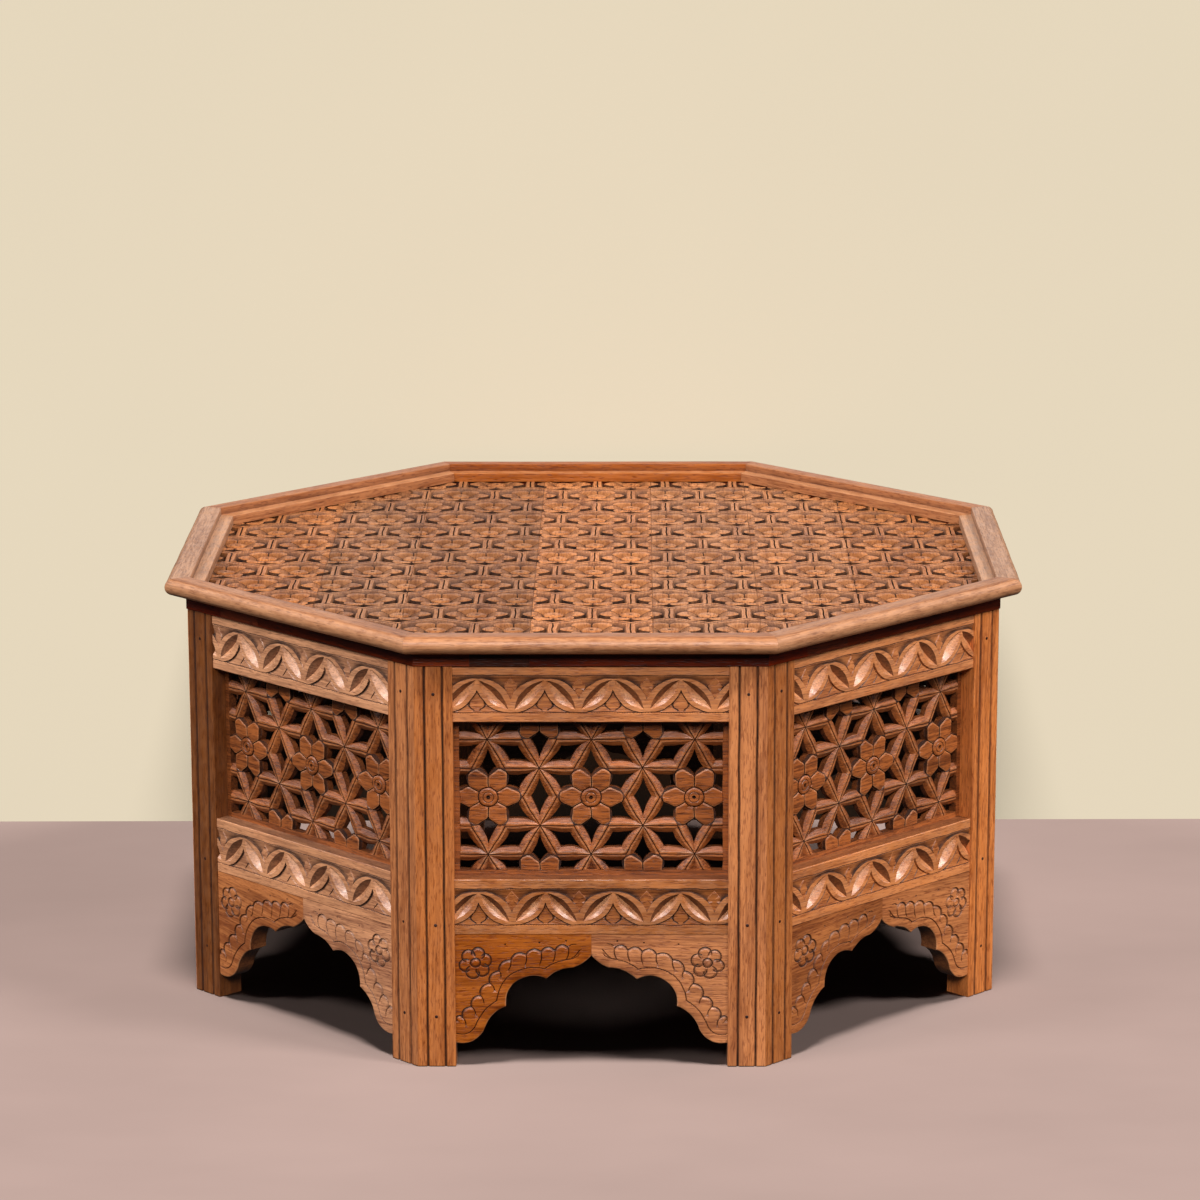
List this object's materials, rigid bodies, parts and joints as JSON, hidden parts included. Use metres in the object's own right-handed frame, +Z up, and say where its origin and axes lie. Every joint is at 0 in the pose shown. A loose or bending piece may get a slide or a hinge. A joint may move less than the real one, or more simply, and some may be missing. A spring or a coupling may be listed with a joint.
{
  "type": "coffee table",
  "caption": "Octagonal coffee table with pierced and carved lattice sides between framed legs, cusped arches below, a carved plank top and a rounded raised rim.",
  "frame": {"origin": "on the floor, under the centre of the octagon", "axes": "+Z up; the front side faces -Y, with two flat sides square to X and two square to Y"},
  "size_m": [0.9, 0.9, 0.454],
  "materials": {
    "stile_wood": "waxed old teak, satin, worn pale at the edges",
    "rail_wood": "carved old teak, lacquered, dark in the ground",
    "lattice_wood": "pierced and carved old teak, lacquered",
    "spandrel_wood": "carved old teak, satin",
    "rim_wood": "pale waxed teak, satin, scratched",
    "board_wood": "reclaimed carved boards of mixed tones, dry and worn",
    "edging_wood": "mixed offcuts, dark lacquer",
    "inner_wood": "unfinished sawn wood",
    "screw_steel": "plain steel",
    "peg_wood": "dark end grain"
  },
  "bodies": {
    "root": {"leg_1": "stile_wood", "leg_2": "stile_wood", "leg_3": "stile_wood", "leg_4": "stile_wood", "leg_5": "stile_wood", "leg_6": "stile_wood", "leg_7": "stile_wood", "leg_8": "stile_wood", "top_rail_front": "rail_wood", "bottom_rail_front": "rail_wood", "lattice_front": "lattice_wood", "spandrels_front": "spandrel_wood", "rim_front": "rim_wood", "top_rail_front_right": "rail_wood", "bottom_rail_front_right": "rail_wood", "lattice_front_right": "lattice_wood", "spandrels_front_right": "spandrel_wood", "rim_front_right": "rim_wood", "top_rail_right": "rail_wood", "bottom_rail_right": "rail_wood", "lattice_right": "lattice_wood", "spandrels_right": "spandrel_wood", "rim_right": "rim_wood", "top_rail_back_right": "rail_wood", "bottom_rail_back_right": "rail_wood", "lattice_back_right": "lattice_wood", "spandrels_back_right": "spandrel_wood", "rim_back_right": "rim_wood", "top_rail_back": "rail_wood", "bottom_rail_back": "rail_wood", "lattice_back": "lattice_wood", "spandrels_back": "spandrel_wood", "rim_back": "rim_wood", "top_rail_back_left": "rail_wood", "bottom_rail_back_left": "rail_wood", "lattice_back_left": "lattice_wood", "spandrels_back_left": "spandrel_wood", "rim_back_left": "rim_wood", "top_rail_left": "rail_wood", "bottom_rail_left": "rail_wood", "lattice_left": "lattice_wood", "spandrels_left": "spandrel_wood", "rim_left": "rim_wood", "top_rail_front_left": "rail_wood", "bottom_rail_front_left": "rail_wood", "lattice_front_left": "lattice_wood", "spandrels_front_left": "spandrel_wood", "rim_front_left": "rim_wood", "board_1": "board_wood", "board_2": "board_wood", "board_3": "board_wood", "board_4": "board_wood", "board_5": "board_wood", "board_6": "board_wood", "board_7": "board_wood", "edging": "edging_wood", "battens": "inner_wood", "corner_blocks": "inner_wood", "screws": "screw_steel", "pegs": "peg_wood"}
  },
  "joints": []
}
